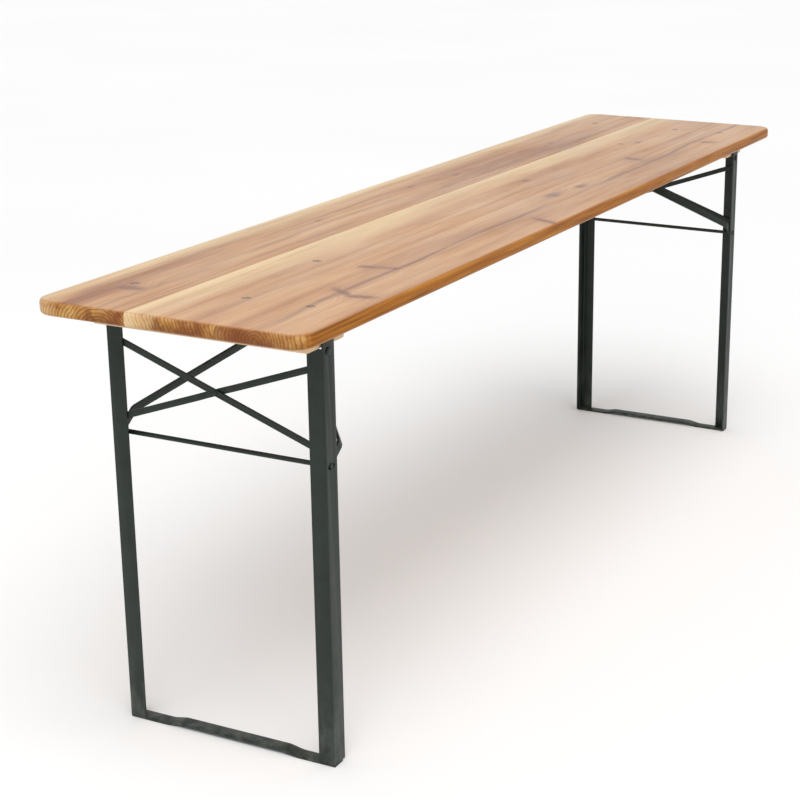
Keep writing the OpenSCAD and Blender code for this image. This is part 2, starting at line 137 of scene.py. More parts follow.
class Shader:
    """A material under construction: adds nodes and wires their inputs by name."""

    def __init__(self, name):
        self.material = bpy.data.materials.new(name)
        self.material.use_nodes = True
        self.tree = self.material.node_tree
        self.surface = self.tree.nodes["Principled BSDF"]
        self.place = self.add("ShaderNodeTexCoord").outputs["Object"]

    def add(self, kind, settings=None, **inputs):
        node = self.tree.nodes.new(kind)
        for key, value in (settings or {}).items():
            setattr(node, key, value)
        for key, value in inputs.items():
            self.join(node.inputs[key.replace("_", " ")], value)
        return node

    def join(self, socket, value):
        if isinstance(value, bpy.types.NodeSocket):
            self.tree.links.new(value, socket)
        else:
            socket.default_value = value

    def math(self, operation, *values):
        node = self.add("ShaderNodeMath", {"operation": operation})
        for socket, value in zip(node.inputs, values):
            self.join(socket, value)
        return node.outputs[0]

    def stretched(self, scale, offset=(0, 0, 0)):
        node = self.add("ShaderNodeMapping", Vector=self.place, Scale=scale, Location=offset)
        return node.outputs[0]

    def noise(self, vector, scale=1.0, detail=2.0, roughness=0.5):
        node = self.add("ShaderNodeTexNoise", Vector=vector, Scale=scale, Detail=detail,
                        Roughness=roughness)
        return node.outputs["Fac"]

    def ramp(self, value, *stops):
        node = self.add("ShaderNodeValToRGB", Fac=value)
        band = node.color_ramp.elements
        while len(band) < len(stops):
            band.new(0.5)
        for element, (position, colour) in zip(band, stops):
            element.position = position
            element.color = (*colour, 1) if len(colour) == 3 else colour
        return node.outputs["Color"]

    def span(self, value, low, high, to_low=0.0, to_high=1.0):
        node = self.add("ShaderNodeMapRange", Value=value)
        for socket, number in zip(node.inputs[1:5], (low, high, to_low, to_high)):
            socket.default_value = number
        return node.outputs[0]

    def blend(self, share, under, over, mode="MIX"):
        node = self.add("ShaderNodeMix", {"data_type": "RGBA", "blend_type": mode})
        for socket, value in zip((node.inputs[0], node.inputs[6], node.inputs[7]),
                                 (share, under, over)):
            if not isinstance(value, bpy.types.NodeSocket) and not isinstance(value, float):
                value = (*value, 1)
            self.join(socket, value)
        return node.outputs[2]

    def bump(self, height, depth, strength=1.0, under=None):
        node = self.add("ShaderNodeBump", Height=height, Distance=depth, Strength=strength)
        if under is not None:
            self.join(node.inputs["Normal"], under)
        return node.outputs[0]

    def finish(self, **inputs):
        for key, value in inputs.items():
            if isinstance(value, tuple):
                value = (*value, 1)
            self.join(self.surface.inputs[key.replace("_", " ")], value)
        return self.material


def squared(wood, value):
    """A value times itself."""
    return wood.math("MULTIPLY", value, value)


def knot_shape(wood, x, y, knot):
    """How far a point lies from a knot's middle, in knot sizes, squared. A spike knot runs
    across the board; its ends are blunt, so its length counts by the fourth power."""
    place_x, place_y, wide, long, lean = knot
    aside = wood.math("SUBTRACT", x, place_x)
    along = wood.math("SUBTRACT", y, place_y)
    aside = wood.math("ADD", aside, wood.math("MULTIPLY", along, lean))
    aside = squared(wood, wood.math("DIVIDE", aside, wide))
    along = squared(wood, wood.math("DIVIDE", along, long))
    blunt = squared(wood, along)
    return aside, along, wood.math("ADD", aside, blunt)


def board_wood(name, pith, pitch, sapwood, tones, knots, streaks, figure, stain):
    """Varnished softwood, solid through the board, so its end grain and its faces agree."""
    wood = Shader(name)
    x, y, z = wood.add("ShaderNodeSeparateXYZ", Vector=wood.place).outputs
    end = wood.add("ShaderNodeAttribute", {"attribute_name": "end_grain"}).outputs["Fac"]
    rim = wood.add("ShaderNodeAttribute", {"attribute_name": "rim"}).outputs["Fac"]

    # the stem isn't straight: its rings wander slowly along the board
    slow = wood.noise(wood.stretched((1.1, 1.5, 1.5), (figure, 0, 0)), 1.0, 2.0)
    drift = wood.math("MULTIPLY", wood.math("SUBTRACT", slow, 0.5), 0.034)
    across = wood.math("ADD", wood.math("SUBTRACT", y, pith[0]), drift)
    depth = wood.math("ADD", wood.math("SUBTRACT", z, pith[1]), wood.math("MULTIPLY", drift, 0.3))
    radius = wood.math("SQRT", wood.math("ADD", squared(wood, across), squared(wood, depth)))

    # rings swell round the knots, and the knots are dark
    frayed = wood.noise(wood.stretched((42, 42, 42)), 1.0, 3.0, 0.6)
    frayed = wood.math("MULTIPLY", wood.math("SUBTRACT", frayed, 0.5), 2.4)
    core, halo = 0.0, 0.0
    for knot in knots:
        aside, along, off = knot_shape(wood, x, y, knot)
        near = wood.math("ADD", wood.math("MULTIPLY", aside, 0.10),
                         wood.math("MULTIPLY", along, 0.7))
        swell = wood.math("EXPONENT", wood.math("MULTIPLY", near, -1.0))
        radius = wood.math("ADD", radius, wood.math("MULTIPLY", swell, knot[2] * 1.1))
        halo = wood.math("MAXIMUM", halo, swell)
        off = wood.math("ADD", off, frayed)
        core = wood.math("MAXIMUM", core, wood.math("EXPONENT", wood.math("MULTIPLY", off, -0.9)))
    ripple = wood.noise(wood.stretched((6, 70, 70)), 1.0, 3.0)
    waved = wood.math("ADD", radius, wood.math("MULTIPLY", ripple, 0.0026))
    uneven = wood.noise(wood.stretched((0.2, 55, 55)), 1.0, 1.0)
    waved = wood.math("ADD", waved, wood.math("MULTIPLY", uneven, 0.006))
    year = wood.math("FRACT", wood.math("DIVIDE", waved, pitch))
    late = wood.ramp(year, (0.0, (0.0,) * 3), (0.30, (0.10,) * 3), (0.72, (0.62,) * 3),
                     (0.90, (1.0,) * 3), (1.0, (0.0,) * 3))

    # heartwood clouds, then pale sapwood with a feathered border
    cloud = wood.noise(wood.stretched((1.3, 13, 13), (3 + figure, 1, 0)), 1.0, 5.0, 0.62)
    tone = wood.ramp(cloud, (0.33, tones[0]), (0.50, tones[1]), (0.67, tones[2]))
    feather = wood.noise(wood.stretched((1.6, 26, 26), (figure, 0, 5)), 1.0, 4.0, 0.6)
    border = wood.math("ADD", y, wood.math("MULTIPLY", wood.math("SUBTRACT", feather, 0.5), 0.10))
    pale = wood.span(border, *sapwood)
    tone = wood.blend(pale, tone, (0.82, 0.64, 0.38))

    # grain lines, dark lengthwise streaks and fine fibres
    ring_tone = wood.blend(1.0, tone, (0.70, 0.52, 0.38), "MULTIPLY")
    tone = wood.blend(wood.math("MULTIPLY", late, 0.42), tone, ring_tone)
    vein = wood.noise(wood.stretched((1.5, 62, 62), (figure, 9, 0)), 1.0, 5.0, 0.68)
    tone = wood.blend(wood.span(vein, 0.54, 0.72, 0.0, 0.62), tone,
                      wood.blend(1.0, tone, (0.58, 0.38, 0.26), "MULTIPLY"))
    for line, width, strength in streaks:
        bend = wood.noise(wood.stretched((2.6, 0.1, 0.1), (line * 90, 0, 0)), 1.0, 3.0)
        bend = wood.math("MULTIPLY", wood.math("SUBTRACT", bend, 0.5), 0.045)
        off = wood.math("DIVIDE", wood.math("ADD", wood.math("SUBTRACT", y, line), bend), width)
        gaps = wood.span(wood.noise(wood.stretched((3, 60, 1), (line, 0, 0)), 1.0, 3.0), 0.3, 0.55)
        share = wood.math("EXPONENT", wood.math("MULTIPLY", squared(wood, off), -1.0))
        share = wood.math("MULTIPLY", share, wood.math("MULTIPLY", gaps, strength))
        tone = wood.blend(share, tone, (0.27, 0.145, 0.105))
    fibre = wood.noise(wood.stretched((14, 560, 560)), 1.0, 3.0, 0.75)
    tone = wood.blend(wood.span(fibre, 0.38, 0.70, 0.0, 0.26), tone,
                      wood.blend(1.0, tone, (0.62, 0.44, 0.30), "MULTIPLY"))
    tone = wood.blend(wood.math("MULTIPLY", halo, 0.42), tone, (0.38, 0.175, 0.10))
    tone = wood.blend(wood.span(core, 0.12, 0.85, 0.0, 0.72), tone, (0.21, 0.105, 0.080))

    # the rim drinks more varnish, and painted shade darkens it as it turns down from the top: long sides go
    # a dark orange-brown that is partly varnish and partly painted shade, end grain shows every ring
    side_dark = wood.noise(wood.stretched((3.5, 60, 160), (0, 0, figure)), 1.0, 4.0, 0.65)
    side_varnish_and_shade = wood.ramp(side_dark, (0.30, (0.11, 0.030, 0.003)), (0.48, (0.33, 0.108, 0.006)),
                          (0.70, (0.50, 0.205, 0.020)))
    patch = wood.noise(wood.stretched((1, 26, 26), (0, figure, 0)), 1.0, 3.0, 0.6)
    end_pale = wood.ramp(patch, (0.36, (0.20, 0.070, 0.018)), (0.52, (0.45, 0.215, 0.058)),
                         (0.66, (0.60, 0.350, 0.120)))
    stain_off = wood.math("DIVIDE", wood.math("SUBTRACT", border, stain[0]), stain[1])
    stain_share = wood.math("EXPONENT", wood.math("MULTIPLY", squared(wood, stain_off), -1.0))
    end_pale = wood.blend(wood.math("MULTIPLY", stain_share, 0.92), end_pale, (0.20, 0.058, 0.020))
    end_pale = wood.blend(wood.math("MULTIPLY", pale, 0.9), end_pale, (0.74, 0.54, 0.31))
    end_rings = wood.math("SUBTRACT", 1.0, wood.math("MULTIPLY", pale, 0.72))
    end_rings = wood.math("MULTIPLY", end_rings, wood.span(late, 0.25, 0.95, 0.0, 0.75))
    end_tone = wood.blend(end_rings, end_pale, (0.125, 0.038, 0.012))
    end_share = wood.span(end, 0.25, 0.75)
    # partly painted shade: the further the rounding turns down from the flat top towards the vertical
    # faces, the more it takes the darker side and end colours
    tone = wood.blend(wood.span(rim, 0.12, 0.80, 0.0, 0.94), tone,
                      wood.blend(end_share, side_varnish_and_shade, end_tone))

    pores = wood.bump(fibre, 0.00016, 0.6)
    grain = wood.bump(late, 0.00012, 0.5, pores)
    haze = wood.noise(wood.stretched((5, 14, 14), (0, 7, 0)), 1.0, 3.0)
    return wood.finish(Base_Color=tone, Roughness=wood.span(haze, 0.3, 0.7, 0.28, 0.44),
                       Normal=grain, Specular_IOR_Level=wood.span(rim, 0.3, 1.0, 0.34, 0.05),
                       Coat_Weight=wood.span(rim, 0.3, 1.0, 0.10, 0.02), Coat_Roughness=0.12)


# heartwood tones, dark to light
red_heart = ((0.36, 0.165, 0.080), (0.57, 0.320, 0.165), (0.68, 0.430, 0.240))
pink_heart = ((0.46, 0.235, 0.120), (0.61, 0.355, 0.190), (0.71, 0.460, 0.265))
# knots: middle x and y, half width along the board, half length across it, lean
back_knots = ((-0.972, 0.152, 0.013, 0.024, 0.0), (-0.393, 0.161, 0.010, 0.005, 0.0),
              (-0.020, 0.169, 0.010, 0.005, 0.0), (0.151, 0.151, 0.013, 0.007, 0.0),
              (0.620, 0.140, 0.012, 0.006, 0.0))
middle_knots = ((0.151, -0.013, 0.016, 0.008, 0.0), (0.720, -0.040, 0.011, 0.006, 0.0))
front_knots = ((-0.674, -0.126, 0.009, 0.040, 0.20), (-0.842, -0.158, 0.009, 0.026, -0.6),
               (-0.858, -0.206, 0.009, 0.026, 0.2), (-0.203, -0.222, 0.009, 0.034, -0.4),
               (0.038, -0.131, 0.026, 0.013, 0.0), (0.149, -0.142, 0.022, 0.010, 0.0),
               (0.504, -0.112, 0.012, 0.036, -0.25), (0.800, -0.190, 0.010, 0.020, 0.3))
# looks: pith y and z, ring pitch, where the sapwood begins and is full, heartwood tones, knots,
# lengthwise streaks (y, width, strength), figure number, dark stain of the end (y, width)
board_looks = {
    "back_board": ((0.118, 0.722), 0.0058, (0.196, 0.246), red_heart, back_knots,
                   ((0.090, 0.0035, 0.55), (0.128, 0.006, 0.50), (0.176, 0.005, 0.45)), 2.0,
                   (0.084, 0.016)),
    "middle_board": ((0.240, 0.660), 0.0062, (0.000, 0.062), pink_heart, middle_knots,
                     ((-0.060, 0.004, 0.30),), 5.3, (-0.055, 0.018)),
    "front_board": ((-0.163, 0.752), 0.0055, (0.9, 1.0), pink_heart, front_knots,
                    ((-0.163, 0.0060, 0.95), (-0.120, 0.004, 0.25), (-0.212, 0.004, 0.25)), 9.1,
                    (-0.140, 0.055)),
}
drill_radius, head_radius, head_depth = 0.0031, 0.0074, 0.0022
drill_reach = 0.010
drill_sides = 28
head_outline = 0.0070
top_holes = {}
for node, rows in (("batten_rivets", (-0.166, -0.048, 0.166)), ("catch_rivets", (-0.013,))):
    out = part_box(node)[1].x - head_outline
    top_holes[node] = [(x, row) for row in rows for x in (-out, out)]


def drill_bit(holes):
    """One mesh with a shank and a head recess at every rivet's place."""
    work = bmesh.new()
    for x, y in holes:
        for radius, low in ((drill_radius, top_low - drill_reach),
                            (head_radius, top_high - head_depth)):
            height = top_high + drill_reach - low
            bmesh.ops.create_cone(work, cap_ends=True, segments=drill_sides, radius1=radius, radius2=radius,
                                  depth=height, matrix=Matrix.Translation((x, y, low + height / 2)))
    mesh = bpy.data.meshes.new("drill_bit")
    work.to_mesh(mesh)
    work.free()
    return in_scene("drill_bit", mesh)


bit = drill_bit(sum(top_holes.values(), []))
for node, look in board_looks.items():
    low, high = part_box(node)
    board = in_scene(node + "_wood", board_mesh(node + "_wood", low.y, high.y))
    cutter = board.modifiers.new("drilled", "BOOLEAN")
    cutter.operation, cutter.object, cutter.solver = "DIFFERENCE", bit, "EXACT"
    cutter.use_self = True
    settled(board)
    smooth_by_angle(board)
    board.data.materials.clear()
    board.data.materials.append(board_wood(node + "_varnished", *look))
    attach(board, "table_top")
    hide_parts(node)
bpy.data.objects.remove(bit)

# ---------------------------------------------------------------------------------------------
# Battens
# A planed softwood batten crosses the boards at each end and keeps them flat. It is bare wood,
# its lower edges eased, and it is riveted up through the top.
# ---------------------------------------------------------------------------------------------


def batten_wood():
    """Bare pine with its grain along the batten, which lies across the table."""
    wood = Shader("batten_pine")
    x, y, z = wood.add("ShaderNodeSeparateXYZ", Vector=wood.place).outputs
    side = wood.math("ABSOLUTE", x)
    wander = wood.math("MULTIPLY", wood.noise(wood.stretched((2, 1.6, 2)), 1.0, 1.0), 0.03)
    across = wood.math("ADD", wood.math("SUBTRACT", side, 0.935), wander)
    depth = wood.math("SUBTRACT", z, top_low - 0.085)
    radius = wood.math("SQRT", wood.math("ADD", wood.math("MULTIPLY", across, across),
                                         wood.math("MULTIPLY", depth, depth)))
    ripple = wood.noise(wood.stretched((70, 6, 70)), 1.0, 3.0)
    waved = wood.math("ADD", radius, wood.math("MULTIPLY", ripple, 0.002))
    year = wood.math("FRACT", wood.math("DIVIDE", waved, 0.0045))
    late = wood.ramp(year, (0.0, (0.0,) * 3), (0.4, (0.15,) * 3), (0.9, (1.0,) * 3),
                     (1.0, (0.0,) * 3))
    cloud = wood.noise(wood.stretched((14, 3, 14)), 1.0, 3.0)
    tone = wood.ramp(cloud, (0.3, (0.66, 0.47, 0.28)), (0.7, (0.78, 0.60, 0.39)))
    tone = wood.blend(wood.math("MULTIPLY", late, 0.34), tone, (0.50, 0.28, 0.12))
    fibre = wood.noise(wood.stretched((600, 18, 600)), 1.0, 2.0, 0.7)
    tone = wood.blend(wood.span(fibre, 0.35, 0.75, 0.0, 0.18), tone, (0.45, 0.29, 0.16))
    rough = wood.span(fibre, 0.3, 0.7, 0.60, 0.78)
    return wood.finish(Base_Color=tone, Roughness=rough, Normal=wood.bump(fibre, 0.00025, 0.6))


def merged_copy(node):
    """A copy of a CAD node's mesh as one welded skin with flat faces joined up."""
    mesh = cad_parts[node].data.copy()
    mesh.materials.clear()
    work = bmesh.new()
    work.from_mesh(mesh)
    bmesh.ops.remove_doubles(work, verts=work.verts, dist=2e-6)
    bmesh.ops.dissolve_limit(work, angle_limit=math.radians(0.6), verts=work.verts,
                             edges=work.edges)
    return mesh, work


def eased(node, name, radius, segments=2, bend=0.0):
    """A CAD node's shape with its sharp edges eased, and its sheet-metal bends made round.
    The eased strips carry the attribute worn, where paint rubs thin."""
    mesh, work = merged_copy(node)
    if bend:
        bends = [edge for edge in work.edges if len(edge.link_faces) == 2
                 and math.radians(7) < edge.calc_face_angle() < math.radians(60)
                 and 0.009 < edge.calc_length() < 0.04]
        bmesh.ops.bevel(work, geom=bends, offset=bend, segments=5, affect="EDGES", profile=0.5)
    work.to_mesh(mesh)
    work.free()
    piece = in_scene(name, mesh)
    for label in ("plain", "eased"):
        mesh.materials.append(bpy.data.materials.new(label))
    ease = piece.modifiers.new("eased", "BEVEL")
    ease.width, ease.segments, ease.limit_method = radius, segments, "ANGLE"
    ease.angle_limit, ease.material = math.radians(50), 1
    ease.use_clamp_overlap = True
    settled(piece)
    worn = piece.data.attributes.new("worn", "FLOAT", "FACE")
    for face, value in zip(piece.data.polygons, worn.data):
        value.value = float(face.material_index == 1)
        face.material_index = 0
    piece.data.materials.clear()
    return smooth_by_angle(piece, 40)


pine = batten_wood()
for end in ("left", "right"):
    batten = eased(end + "_batten", end + "_batten_wood", 0.0008)
    batten.data.materials.append(pine)
    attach(batten, "table_top")
    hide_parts(end + "_batten")

# ---------------------------------------------------------------------------------------------
# Rivets through the top
# Zinc-plated steel rivets, three through each batten and one through each catch. The flat heads
# are driven just below the varnish and the tails are closed under the batten or the catch.
# ---------------------------------------------------------------------------------------------


def zinc_steel():
    """Dull zinc plating with a fine spangle and finger-dark patches."""
    metal = Shader("zinc_plated_steel")
    spangle = metal.add("ShaderNodeTexVoronoi", Vector=metal.place, Scale=700.0).outputs["Distance"]
    patch = metal.noise(metal.place, 90.0, 4.0, 0.6)
    tone = metal.ramp(patch, (0.3, (0.20, 0.17, 0.13)), (0.65, (0.44, 0.40, 0.33)))
    tone = metal.blend(metal.span(spangle, 0.0, 0.6, 0.0, 0.18), tone, (0.62, 0.60, 0.55))
    return metal.finish(Base_Color=tone, Metallic=0.9, Normal=metal.bump(patch, 0.0001, 0.4),
                        Roughness=metal.span(patch, 0.3, 0.7, 0.42, 0.28))


def turned(name, profile, segments=32):
    """A closed solid turned about Z from (radius, height) points, from its foot to its top."""
    work = bmesh.new()
    rings = []
    for radius, height in profile:
        if radius == 0:
            rings.append([work.verts.new((0, 0, height))])
            continue
        rings.append([work.verts.new((radius * math.cos(math.tau * k / segments),
                                      radius * math.sin(math.tau * k / segments), height))
                      for k in range(segments)])
    for lower, upper in zip(rings, rings[1:]):
        for k in range(segments):
            j = (k + 1) % segments
            corners = (lower[k % len(lower)], lower[j % len(lower)],
                       upper[j % len(upper)], upper[k % len(upper)])
            work.faces.new(tuple(dict.fromkeys(corners)))
    bmesh.ops.recalc_face_normals(work, faces=work.faces)
    mesh = bpy.data.meshes.new(name)
    work.to_mesh(mesh)
    work.free()
    return mesh


def fasteners_at_points():
    """Geometry nodes: a fastener at every point of a mesh, turned by the point's attribute, and
    spun about its own axis by a random share of the given spin."""
    tree = bpy.data.node_groups.new("fasteners_at_points", "GeometryNodeTree")
    for label, kind in (("Points", "Geometry"), ("Fastener", "Object"), ("Spin", "Float"),
                        ("Finish", "Material")):
        tree.interface.new_socket(name=label, in_out="INPUT", socket_type="NodeSocket" + kind)
    tree.interface.new_socket(name="Copies", in_out="OUTPUT", socket_type="NodeSocketGeometry")
    nodes, wire = tree.nodes, tree.links.new
    given = nodes.new("NodeGroupInput").outputs
    turn = nodes.new("GeometryNodeInputNamedAttribute")
    turn.data_type = "FLOAT_VECTOR"
    turn.inputs["Name"].default_value = "turn"
    model = nodes.new("GeometryNodeObjectInfo")
    wire(given["Fastener"], model.inputs["Object"])
    spread = nodes.new("GeometryNodeInstanceOnPoints")
    wire(given["Points"], spread.inputs["Points"])
    wire(model.outputs["Geometry"], spread.inputs["Instance"])
    wire(turn.outputs["Attribute"], spread.inputs["Rotation"])
    chance = nodes.new("FunctionNodeRandomValue")
    chance.inputs["Seed"].default_value = 4
    share = nodes.new("ShaderNodeMath")
    share.operation = "MULTIPLY"
    wire(chance.outputs[1], share.inputs[0])
    wire(given["Spin"], share.inputs[1])
    about = nodes.new("ShaderNodeCombineXYZ")
    wire(share.outputs[0], about.inputs["Z"])
    spun = nodes.new("GeometryNodeRotateInstances")
    wire(spread.outputs["Instances"], spun.inputs["Instances"])
    wire(about.outputs[0], spun.inputs["Rotation"])
    real = nodes.new("GeometryNodeRealizeInstances")
    wire(spun.outputs["Instances"], real.inputs["Geometry"])
    finish = nodes.new("GeometryNodeSetMaterial")
    wire(real.outputs["Geometry"], finish.inputs["Geometry"])
    wire(given["Finish"], finish.inputs["Material"])
    wire(finish.outputs["Geometry"], nodes.new("NodeGroupOutput").inputs["Copies"])
    return tree


def run_nodes(piece, tree, **given):
    """Runs a geometry nodes tree on a piece and keeps the result as a plain mesh."""
    step = piece.modifiers.new(tree.name, "NODES")
    step.node_group = tree
    for item in tree.interface.items_tree:
        if item.in_out == "INPUT" and item.name in given:
            step[item.identifier] = given[item.name]
    return settled(piece)


fastener_tree = fasteners_at_points()


def fastened(name, model, places, finish, spin=0.0):
    """Copies of a fastener's mesh at (place, turn) pairs, as one object."""
    mesh = bpy.data.meshes.new(name)
    mesh.from_pydata([place for place, turn in places], [], [])
    turns = mesh.attributes.new("turn", "FLOAT_VECTOR", "POINT")
    for item, (place, turn) in zip(turns.data, places):
        item.vector = turn
    single = in_scene(name + "_single", model)
    group = run_nodes(in_scene(name, mesh), fastener_tree, Fastener=single, Spin=spin,
                      Finish=finish)
    bpy.data.objects.remove(single)
    return smooth_by_angle(group)


def flush_rivet(name, tail_z, tail_radius, tail_height):
    """A rivet from its closed tail up to a very slightly domed flush head."""
    shank = 0.0029
    head = head_radius - 0.0004
    seat = top_high - head_depth + 0.0001
    crown = top_high - 0.0004
    dome = 0.0003
    return turned(name, [
        (0, tail_z - tail_height), (tail_radius * 0.55, tail_z - tail_height),
        (tail_radius * 0.9, tail_z - tail_height * 0.6), (tail_radius, tail_z - tail_height * 0.2),
        (tail_radius, tail_z), (shank, tail_z), (shank, seat), (head, seat),
        (head, crown - dome * 1.6), (head * 0.94, crown - dome * 0.4), (head * 0.75, crown),
        (head * 0.4, crown + dome * 0.7), (0, crown + dome)])


zinc = zinc_steel()
upright = (0.0, 0.0, 0.0)
tail_height = 0.0016
for node, tail_radius in (("batten_rivets", 0.0070), ("catch_rivets", 0.0040)):
    model = flush_rivet(node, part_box(node)[0].z + tail_height, tail_radius, tail_height)
    places = [((x, y, 0.0), upright) for x, y in top_holes[node]]
    rivets = fastened(node + "_steel", model, places, zinc)
    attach(rivets, "table_top")
    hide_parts(node)

# ---------------------------------------------------------------------------------------------
# Hinge brackets and their screws
# Pressed steel angles, powder-coated. The ear stands beside the batten's end and carries the
# leg's hinge rivet; the foot is held under the boards by two cross-head screws.
# ---------------------------------------------------------------------------------------------


def green_paint(name, scuff_height=0.0):
    """Dark green powder coat: orange-peel skin, faint mottling, edges rubbed to bare steel,
    and scuffs and dust that gather below the given height above the floor."""
    paint = Shader(name)
    x, y, z = paint.add("ShaderNodeSeparateXYZ", Vector=paint.place).outputs
    mottle = paint.noise(paint.place, 26.0, 5.0, 0.6)
    tone = paint.ramp(mottle, (0.30, (0.005, 0.011, 0.007)), (0.70, (0.013, 0.023, 0.017)))
    rub = paint.noise(paint.place, 34.0, 5.0, 0.7)
    edge = paint.add("ShaderNodeAttribute", {"attribute_name": "worn"}).outputs["Fac"]
    bare = paint.math("MULTIPLY", edge, paint.span(rub, 0.56, 0.74, 0.0, 0.7))
    scratch = paint.noise(paint.stretched((900, 900, 24)), 1.0, 2.0, 0.6)
    fine = paint.span(scratch, 0.70, 0.74, 0.0, 0.35)
    tone = paint.blend(fine, tone, (0.10, 0.12, 0.11))
    if scuff_height:
        low = paint.span(z, scuff_height, 0.0)
        dust = paint.noise(paint.stretched((40, 40, 14)), 1.0, 5.0, 0.65)
        tone = paint.blend(paint.math("MULTIPLY", low, paint.span(dust, 0.42, 0.75, 0.0, 0.55)),
                           tone, (0.16, 0.17, 0.15))
    tone = paint.blend(bare, tone, (0.34, 0.33, 0.31))
    peel = paint.noise(paint.place, 1500.0, 1.0)
    skin = paint.bump(peel, 0.00006, 0.5)
    return paint.finish(Base_Color=tone, Metallic=paint.math("MULTIPLY", bare, 0.8),
                        Roughness=paint.span(mottle, 0.3, 0.7, 0.40, 0.52), Normal=skin,
                        Specular_IOR_Level=0.36)


bracket_paint = green_paint("bracket_green_paint")
for end in ("left", "right"):
    for side in ("front", "back"):
        node = f"{end}_{side}_hinge_bracket"
        bracket = eased(node, node + "_steel", 0.0006)
        bracket.data.materials.append(bracket_paint)
        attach(bracket, "table_top")
        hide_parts(node)


def cross_head_screw(name, length):
    """A pan-head screw, head down, with a cross recess: the seat of the head is at z = 0."""
    head, shank, height, point = 0.004, 0.0019, 0.0016, 0.003
    slot_length, slot_width, slot_height = 0.0042, 0.0009, 0.0018
    body = in_scene(name, turned(name, [
        (0, -height), (head * 0.45, -height), (head * 0.8, -height * 0.82),
        (head * 0.97, -height * 0.45), (head, -height * 0.1), (head, 0), (shank, 0),
        (shank, length - point), (0, length)]))
    work = bmesh.new()
    for quarter in (0, 90):
        slot = Matrix.Translation((0, 0, -height)) @ Matrix.Rotation(math.radians(quarter), 4, "Z")
        shape = Matrix.Diagonal((slot_length, slot_width, slot_height, 1))
        bmesh.ops.create_cube(work, size=1, matrix=slot @ shape)
    mesh = bpy.data.meshes.new("cross")
    work.to_mesh(mesh)
    work.free()
    cross = in_scene("cross", mesh)
    cut = body.modifiers.new("recess", "BOOLEAN")
    cut.operation, cut.object, cut.solver, cut.use_self = "DIFFERENCE", cross, "EXACT", True
    settled(body)
    bpy.data.objects.remove(cross)
    mesh = body.data
    bpy.data.objects.remove(body)
    return mesh


low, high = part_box("bracket_screws")
head_reach, head_tall = 0.0040, 0.0016
seat = low.z + head_tall
screw_model = cross_head_screw("cross_head_screw", high.z - seat)
inner_row = -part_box("left_front_hinge_bracket")[1].y + 2 * head_reach
places = [((x, y, seat), upright)
          for x in (low.x + head_reach, high.x - head_reach)
          for row in (high.y - head_reach, inner_row) for y in (-row, row)]
screws = fastened("bracket_screws_steel", screw_model, places, zinc, math.pi)
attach(screws, "table_top")
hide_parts("bracket_screws")

# ---------------------------------------------------------------------------------------------
# Leg hinge rivets
# Four steel rivets on which the leg frames swing. Each is fixed in a bracket's ear and passes
# through the leg's side flange, with a domed head on both sides. They were sprayed with the frame.
# ---------------------------------------------------------------------------------------------

to_back, to_front = (-math.pi / 2, 0.0, 0.0), (math.pi / 2, 0.0, 0.0)


def domed_rivet(name, grip, shank, head, height):
    """A rivet along Z from its first head's seat at z = 0 to its second at the grip."""
    dome = [(head, 0.12), (head * 0.97, 0.40), (head * 0.84, 0.74), (head * 0.55, 0.94), (0, 1.0)]
    profile = [(radius, -height * share) for radius, share in reversed(dome)]
    profile += [(head, 0), (shank, 0), (shank, grip), (head, grip)]
    profile += [(radius, grip + height * share) for radius, share in dome]
    return turned(name, profile)


rivet_paint = green_paint("green_paint_on_rivets")
low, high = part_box("leg_hinge_rivets")
dome_height, dome_radius, pin_radius = 0.0025, (high.z - low.z) / 2, 0.0039
ear_thickness = 0.003
hinge_seat = -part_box("left_front_hinge_bracket")[0].y - ear_thickness
hinge_grip = high.y - dome_height - hinge_seat
rivet = domed_rivet("leg_hinge_rivet", hinge_grip, pin_radius, dome_radius, dome_height)
hinge_z = (low.z + high.z) / 2
places = [((x, side * hinge_seat, hinge_z), to_back if side > 0 else to_front)
          for x in (low.x + dome_radius, high.x - dome_radius) for side in (-1, 1)]
rivets = fastened("leg_hinge_rivets_painted", rivet, places, rivet_paint)
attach(rivets, "table_top")
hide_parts("leg_hinge_rivets")

# ---------------------------------------------------------------------------------------------
# Catches
# A spring clip of blued steel is held under the middle board at each end by one rivet and one
# wood screw. Its two flared leaves grip the tongue of the brace.
# ---------------------------------------------------------------------------------------------


def spring_steel():
    """Heat-blued spring steel: dark blue-brown temper cloud, light rubbing on the edges."""
    metal = Shader("blued_spring_steel")
    cloud = metal.noise(metal.place, 60.0, 4.0, 0.6)
    tone = metal.ramp(cloud, (0.30, (0.030, 0.034, 0.045)), (0.55, (0.065, 0.060, 0.060)),
                      (0.75, (0.10, 0.085, 0.065)))
    edge = metal.add("ShaderNodeAttribute", {"attribute_name": "worn"}).outputs["Fac"]
    tone = metal.blend(metal.math("MULTIPLY", edge, 0.6), tone, (0.42, 0.41, 0.40))
    drawn = metal.noise(metal.stretched((40, 900, 900)), 1.0, 2.0)
    return metal.finish(Base_Color=tone, Metallic=0.85, Normal=metal.bump(drawn, 0.00005, 0.5),
                        Roughness=metal.span(cloud, 0.3, 0.7, 0.32, 0.48))


blued = spring_steel()
for end in ("left", "right"):
    catch = eased(end + "_catch", end + "_catch_clip", 0.0004)
    catch.data.materials.append(blued)
    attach(catch, "table_top")
    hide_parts(end + "_catch")
low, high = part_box("catch_screws")
places = [((x, (low.y + high.y) / 2, low.z + head_tall), upright)
          for x in (low.x + head_reach, high.x - head_reach)]
screws = fastened("catch_screws_steel", screw_model, places, zinc, math.pi)
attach(screws, "table_top")
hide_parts("catch_screws")

# ---------------------------------------------------------------------------------------------
# Legs
# Four lengths of 30 mm angle iron, powder-coated dark green after welding. The side flange runs
# up past the end flange to a rounded tip that holds the hinge rivet.
# ---------------------------------------------------------------------------------------------

